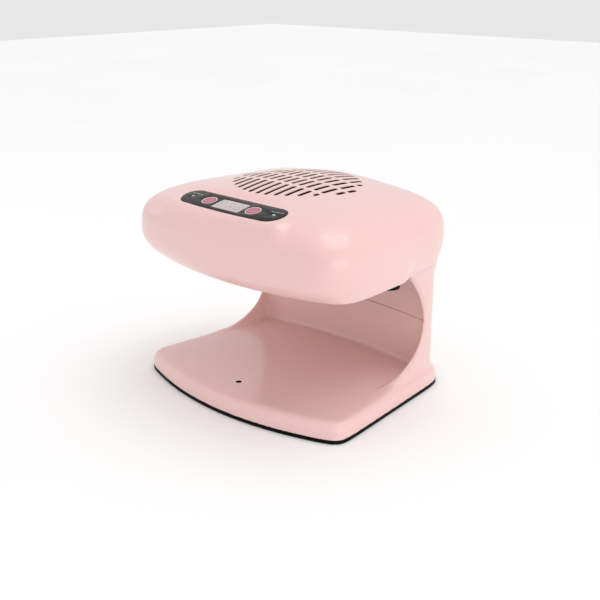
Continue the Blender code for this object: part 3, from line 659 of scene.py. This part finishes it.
def base_field(x, y, z):
    """Roughly the signed distance to the base shell's skin, negative inside."""
    angle, reach = np.arctan2(y, x), np.hypot(x, y)
    base = np.interp(angle, TABLE_ANGLES, BASE_TABLE)
    belly = np.interp(angle, TABLE_ANGLES, BELLY_TABLE)
    slope = np.interp(angle, TABLE_ANGLES, SLOPE_TABLE)

    a = np.clip(TRAY_ROUND - (base - reach), 0, None) / TRAY_ROUND
    b = np.clip(z - SHELL_BOTTOM, 0, None) / (TRAY_TOP - SHELL_BOTTOM)
    h = np.maximum((a**TRAY_POWER + b**TRAY_POWER) ** (1 / TRAY_POWER), 1e-3)
    along, up = (a / h) ** (TRAY_POWER - 1), (b / h) ** (TRAY_POWER - 1)
    rate = np.hypot(along * slope / TRAY_ROUND, up / (TRAY_TOP - SHELL_BOTTOM))
    tray = (h - 1) / np.maximum(rate, 0.02)

    column = (reach - (base - flare(z)) * (1 - lean(z)) - belly * lean(z)) * slope
    walls = soft_max(column, -edge_gap(y, z), EDGE_BLEND)
    pocket = soft_max(abs(x) - CHEEK_X, y - back_wall_y(x), POCKET_BLEND)
    walls = soft_max(walls, -pocket, WALL_BLEND)

    inner = 1 - smooth_step(pocket, 1.0, 7.0)
    front = 1 - smooth_step(y, 5.0, 25.0)
    solid = soft_min(tray, walls, 0.6 + 4.4 * np.maximum(inner, front))
    solid = soft_max(solid, (reach - base) * slope, SKIN_BLEND)
    solid = soft_max(solid, z - (RIM_Z - 0.05), SKIN_BLEND)
    return soft_max(solid, SHELL_BOTTOM - z, SKIN_BLEND)


def surface_net(field, origin, step):
    """Points and outward quads of the surface where field is 0: one point in each crossed cell."""
    inside = field < 0
    shape = np.array(field.shape) - 1
    corners = [inside[i:i + shape[0], j:j + shape[1], k:k + shape[2]]
               for i in (0, 1) for j in (0, 1) for k in (0, 1)]
    crossed = np.logical_or.reduce(corners) & ~np.logical_and.reduce(corners)
    ids = np.cumsum(crossed.ravel()).reshape(crossed.shape) - 1
    count = int(crossed.sum())
    total, hits, quads = np.zeros((count, 3)), np.zeros(count), []
    for axis in range(3):
        low = [slice(None)] * 3
        high = [slice(None)] * 3
        low[axis], high[axis] = slice(None, -1), slice(1, None)
        a, b = field[tuple(low)], field[tuple(high)]
        where = np.argwhere((a < 0) != (b < 0))
        start, stop = a[tuple(where.T)], b[tuple(where.T)]
        u, v = np.eye(3, dtype=int)[(axis + 1) % 3], np.eye(3, dtype=int)[(axis + 2) % 3]
        keep = ((where - u - v >= 0) & (where < shape)).all(axis=1)
        where, start, stop = where[keep], start[keep], stop[keep]
        spot = where.astype(float)
        spot[:, axis] += start / (start - stop)
        around = [ids[tuple((where - o).T)] for o in (u + v, v, 0 * u, u)]
        for cell in around:
            hits += np.bincount(cell, minlength=count)
            for k in range(3):
                total[:, k] += np.bincount(cell, weights=spot[:, k], minlength=count)
        quad = np.stack(around, axis=1)
        quad[start > 0] = quad[start > 0][:, ::-1]
        quads.append(quad)
    return origin + step * total / hits[:, None], np.vstack(quads)


def project(points, function, rounds=3):
    """Moves points onto the surface along its gradient, and gives the unit normals there."""
    eps = 0.05
    for _ in range(rounds):
        value = function(*points.T)
        slope = np.stack([
            (function(*(points + offset).T) - function(*(points - offset).T)) / (2 * eps)
            for offset in np.eye(3) * eps
        ], axis=1)
        size = (slope**2).sum(axis=1, keepdims=True)
        move = value[:, None] * slope / np.maximum(size, 0.05)
        points = points - np.clip(move, -0.8, 0.8)
    return points, slope / np.sqrt(size)


def make_base_shell(paint):
    low = np.array(FIELD_LOW)
    axes = [np.arange(a, b, FIELD_STEP) for a, b in zip(low, np.array(FIELD_HIGH))]
    x, y, z = np.meshgrid(*axes, indexing="ij", sparse=True)
    field = base_field(x, y, z)
    points, quads = surface_net(np.ascontiguousarray(field), low, FIELD_STEP)
    points, normals = project(points, base_field)
    shell = piece_from("base_shell_skin", points, quads.tolist(), paint["pink_shell"], sharp=60)
    bay = bay_cutter()
    # the sensor hole's wall gets the same painted shade as the slot walls
    sensor = turned("sensor_cutter", [(SENSOR_R, -12), (SENSOR_R, 12)], paint["vent"], 40)
    sensor.location = Vector((*SENSOR, TRAY_TOP)) * MM
    gland = turned("gland_cutter", [(GLAND_R, -8), (GLAND_R, 12)], None, 40)
    gland.rotation_euler.x = -math.pi / 2
    gland.location = Vector(GLAND) * MM
    cut(shell, bay, sensor, gland)
    settle(shell, bay, sensor, gland, sharp=50)
    return place(shell, HOUSING, "base_shell", slot="pink_shell")


def wall_arc(half, depth, count=48):
    xs = [half * (1 - 2 * i / count) for i in range(count + 1)]
    return [(x, back_wall_y(x) + depth) for x in xs]


def bay_cutter():
    """The recess above the seam that the inner back panel drops into."""
    half = CHEEK_X - 0.2
    flat = [(-half, BAY_FRONT), (half, BAY_FRONT)] + wall_arc(half, PANEL_SKIN + GAP)
    return prism("bay_cutter", flat, SEAM_Z, OPEN_TOP)


def make_back_panel(paint):
    half = CHEEK_X - 2 * GAP
    front = wall_arc(half, 0.0)
    rear = wall_arc(half, PANEL_SKIN)[::-1]
    low, high = SEAM_Z + GAP, RIM_Z - GAP
    panel = prism("inner_back_panel_skin", front + rear, low, high, paint["pink_shell"])
    bevel(panel, 0.5, 3, 40)
    settle(panel)
    return place(panel, HOUSING, "inner_back_panel", slot="pink_shell")


# ---------------------------------------------------------------- base plate and feet

def make_base_plate(paint):
    """The black plate, with a softened edge that laps the foot of the shell."""
    rings = []
    for z, inset in PLATE_RINGS:
        rings.append(np.column_stack([outline(BASE, inset), np.full(ROUND, z)]))
    plate = loft("base_plate_skin", rings, paint["black_base"])
    tools = []
    for name in FEET:
        low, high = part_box(name)
        r = (high.x - low.x) / MM / 2 + GAP
        hole = turned(name + "_cutter", [(r, -3), (r, 2)], None)
        hole.location = ((low + high) / 2).xy.to_3d()
        hole.location.z = 0.3 * MM
        tools.append(hole)
    for i in range(1, 5):
        low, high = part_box(f"base_screw_{i}")
        profile = [(SCREW_HEAD_R, -3), (SCREW_HEAD_R, 1.8), (SCREW_R, 1.8), (SCREW_R, 6)]
        hole = turned(f"screw_cutter_{i}", profile, None)
        hole.location = ((low + high) / 2).xy.to_3d()
        tools.append(hole)
    cut(plate, *tools)
    settle(plate, *tools)
    return place(plate, HOUSING, "base_plate", slot="black_base")


def make_feet(paint):
    """Rubber feet with a rounded edge and a shallow dished face."""
    for name in FEET:
        low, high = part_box(name)
        r = (high.x - low.x) / MM / 2
        profile = [
            (0, 0.35), (r - 2.6, 0.35), (r - 1.9, 0.05), (r - 1.4, 0.0), (r - 0.7, 0.0),
            (r - 0.2, 0.22), (r, 0.6), (r, 1.9), (r - 0.1, 2.0), (0, 2.0),
        ]
        foot = turned(name + "_skin", profile, paint["rubber"], 64)
        foot.data.transform(Matrix.Translation(((low + high) / 2).xy.to_3d()))
        place(foot, HOUSING, name, slot="rubber")


# ---------------------------------------------------------------- control panel

def along_bow(obj, x):
    """Moves a piece made at the panel's middle to a place along its bowed centre line."""
    obj.data.transform(Matrix.Translation((x * MM, PANEL_BOW * x * x * MM, 0)))
    return obj


def make_control_panel(paint):
    flat = straight_steps(stadium(PANEL_HALF, PANEL_R, 24), 3.0)
    flat = [(x, y + PANEL_BOW * x * x) for x, y in flat]
    panel = prism("control_panel_skin", flat, *PANEL_LEVELS, paint["charcoal"])
    tools = [box("window_cutter", (WINDOW[0] + 2 * GAP, WINDOW[1] + 2 * GAP, 12), (0, 0, 0))]
    for name, half, r, steps in (
        ("button_cutter", BUTTON_X, BUTTON_R + GAP, 64), ("lamp_cutter", LED_X, LED_HOLE_R, 32),
    ):
        for x in (-half, half):
            tools.append(along_bow(turned(name, [(r, -6), (r, 6)], None, steps), x))
    cut(panel, *tools)
    bevel(panel, 0.25, 2, 50)
    settle(panel, *tools)
    on_panel(panel)
    place(panel, HOUSING, "control_panel", slot="charcoal")
    make_window(paint)
    for name, x in (("left", -BUTTON_X), ("right", BUTTON_X)):
        make_button(paint, name, x)
    for name, x in (("left", -LED_X), ("right", LED_X)):
        make_lamp(paint, name, x)


def blocks(name, points, material):
    """Raised blocks from runs of eight corners: four below, then the same four above."""
    faces = []
    for first in range(0, len(points), 8):
        faces += [tuple(first + i for i in quad) for quad in BLOCK_FACES]
    return piece_from(name, points, faces, material)


def make_window(paint):
    window = box("display_window_skin", (*WINDOW, 1.2), (0, 0, -0.3), paint["window"])
    bevel(window, 0.3, 3)
    settle(window)
    place(on_panel(window), HOUSING, "display_window", slot="window")
    points = []
    for digit in (-1, 0, 1):
        for cx, cy, w, h in digit_bars():
            for z in DIGIT_LEVELS:
                for sx, sy in ((-1, -1), (1, -1), (1, 1), (-1, 1)):
                    x = cx + sx * w / 2
                    y = cy + sy * h / 2
                    points.append((x + digit * DIGIT_PITCH + DIGIT_SLANT * y, y, z))
    digits = blocks("display_digits", points, paint["digit"])
    place(on_panel(digits), HOUSING, slot="display")


def digit_bars():
    """The seven bars of an unlit figure eight, as (centre x, centre y, width, height)."""
    width, height, bar = 5.6, 10.8, 1.15
    w, h = width / 2 - bar / 2, height / 4
    across = [(0, y, width - 2 * bar, bar) for y in (-height / 2 + bar / 2, 0, height / 2 - bar / 2)]
    upright = [(x, y, bar, height / 2 - 1.1 * bar) for x in (-w, w) for y in (-h, h)]
    return across + upright


def make_button(paint, name, x):
    """A dished round button, on its own body, inside a pale ring that stays on the panel."""
    r = BUTTON_R
    profile = [
        (0, 0.72), (r * 0.45, 0.76), (r * 0.70, 0.92), (r * 0.84, 1.0), (r * 0.94, 0.86),
        (r * 0.99, 0.55), (r, 0.3), (r, -2.6), (0, -2.6),
    ]
    button = along_bow(turned(f"button_{name}_skin", profile, paint["button"], 72), x)
    place(on_panel(button), f"{name}_button", f"button_{name}", slot="button")
    inner, outer = r + GAP + 0.15, r + GAP + 1.15
    profile = [
        (inner, 0.38), (inner, 0.52), (inner + 0.2, 0.6), (outer - 0.2, 0.6), (outer, 0.52),
        (outer, 0.38),
    ]
    ring = turned(f"button_ring_{name}", profile, paint["ring"], 72)
    hollow_ring(ring)
    place(on_panel(along_bow(ring, x)), HOUSING, slot="button")


def hollow_ring(ring):
    """Turns a lofted annulus's two flat caps into one band, so that its middle is open."""
    bm = bmesh.new()
    bm.from_mesh(ring.data)
    caps = [f for f in bm.faces if len(f.verts) > 4]
    edges = [e for cap in caps for e in cap.edges]
    bmesh.ops.delete(bm, geom=caps, context="FACES_ONLY")
    bmesh.ops.bridge_loops(bm, edges=[e for e in edges if e.is_valid])
    bmesh.ops.recalc_face_normals(bm, faces=bm.faces)
    bm.to_mesh(ring.data)
    bm.free()


def make_lamp(paint, name, x):
    """A small clear lamp and the plain printed marks beside it."""
    profile = [(0, 0.95), (0.7, 0.85), (1.2, 0.6), (1.45, 0.3), (1.5, 0.0), (1.5, -6.9), (0, -6.9)]
    lamp = along_bow(turned(f"status_led_{name}_skin", profile, paint["led"], 32), x)
    place(on_panel(lamp), HOUSING, f"status_led_{name}", slot="led")
    side = math.copysign(1, x)
    half = MARK_HALF
    points = []
    for gap, length in MARKS:
        start = x - side * MARK_START + side * gap
        for z in MARK_LEVELS:
            for u, v in ((0, -half), (length, -half), (length, half), (0, half)):
                px = start + side * u
                points.append((px, PANEL_BOW * px * px + MARK_Y + v, z))
    marks = blocks(f"panel_marks_{name}", points, paint["print"])
    place(on_panel(marks), HOUSING, slot="led")


# ---------------------------------------------------------------- CAD nodes that stay

def paint_nodes(paint):
    """Gives every CAD node the procedural material of its slot in the record, except the outlet_ nodes,
    which take black_base's.
    """
    for part in frame["record"]["subparts"]:
        mesh = frame["nodes"][part["node"]].data
        look = "black_base" if part["node"].startswith("outlet_") else part["material_slot"]
        mesh.materials.clear()
        mesh.materials.append(paint[look])


# ---------------------------------------------------------------- stage

def make_stage():
    r = FLOOR_HALF
    corners = [(-r, -r, 0), (r, -r, 0), (r, r, 0), (-r, r, 0)]
    floor = piece_from("floor", corners, [(0, 1, 2, 3)], None)
    m = Nodes("floor_white")
    m.set(Roughness=0.85)
    m.colours(m.noise(3, 2), (0.95, 0.95, 0.95), (0.97, 0.97, 0.97))
    floor.data.materials.append(m.material)


def make_world():
    world = bpy.data.worlds.new("studio")
    world.use_nodes = True
    background = world.node_tree.nodes["Background"]
    background.inputs["Color"].default_value = (1.0, 1.0, 1.0, 1)
    background.inputs["Strength"].default_value = 0.80
    bpy.context.scene.world = world


def soft_light(name, place_at, target, size, power):
    data = bpy.data.lights.new(name, "AREA")
    data.shape = "RECTANGLE"
    data.size, data.size_y = size
    data.energy = power
    lamp = bpy.data.objects.new(name, data)
    lamp.location = place_at
    lamp.rotation_euler = (Vector(target) - Vector(place_at)).to_track_quat("-Z", "Y").to_euler()
    bpy.context.scene.collection.objects.link(lamp)


def make_camera():
    data = bpy.data.cameras.new("camera")
    data.sensor_width = 36.0
    data.lens = CAMERA_LENS
    data.clip_end = 20
    camera = bpy.data.objects.new("camera", data)
    camera.location = CAMERA_AT
    camera.rotation_euler = Vector(CAMERA_HEADING).to_track_quat("-Z", "Y").to_euler()
    bpy.context.scene.collection.objects.link(camera)
    bpy.context.scene.camera = camera


def make_lights():
    centre = (0, 0, 0.1)
    soft_light("overhead", (0.1, 0.2, 1.3), centre, (1.2, 1.2), 1.2)
    soft_light("right_side", (1.4, -0.25, 0.24), centre, (1.3, 0.46), 3.0)
    soft_light("left_side", (-1.2, -0.5, 0.7), centre, (0.6, 0.8), 0.5)
    data = bpy.data.lights.new("sky", "SUN")
    data.energy = 0.62
    data.angle = math.radians(50)
    sky = bpy.data.objects.new("sky", data)
    sky.rotation_euler = Vector(SKY_HEADING).to_track_quat("-Z", "Y").to_euler()
    bpy.context.scene.collection.objects.link(sky)


def main():
    bpy.context.scene.view_settings.view_transform = "Standard"
    make_camera()
    make_world()
    make_lights()
    make_stage()
    paint = make_materials()
    paint_nodes(paint)
    make_head_cover(paint)
    make_base_shell(paint)
    make_back_panel(paint)
    make_base_plate(paint)
    make_feet(paint)
    make_control_panel(paint)


main()
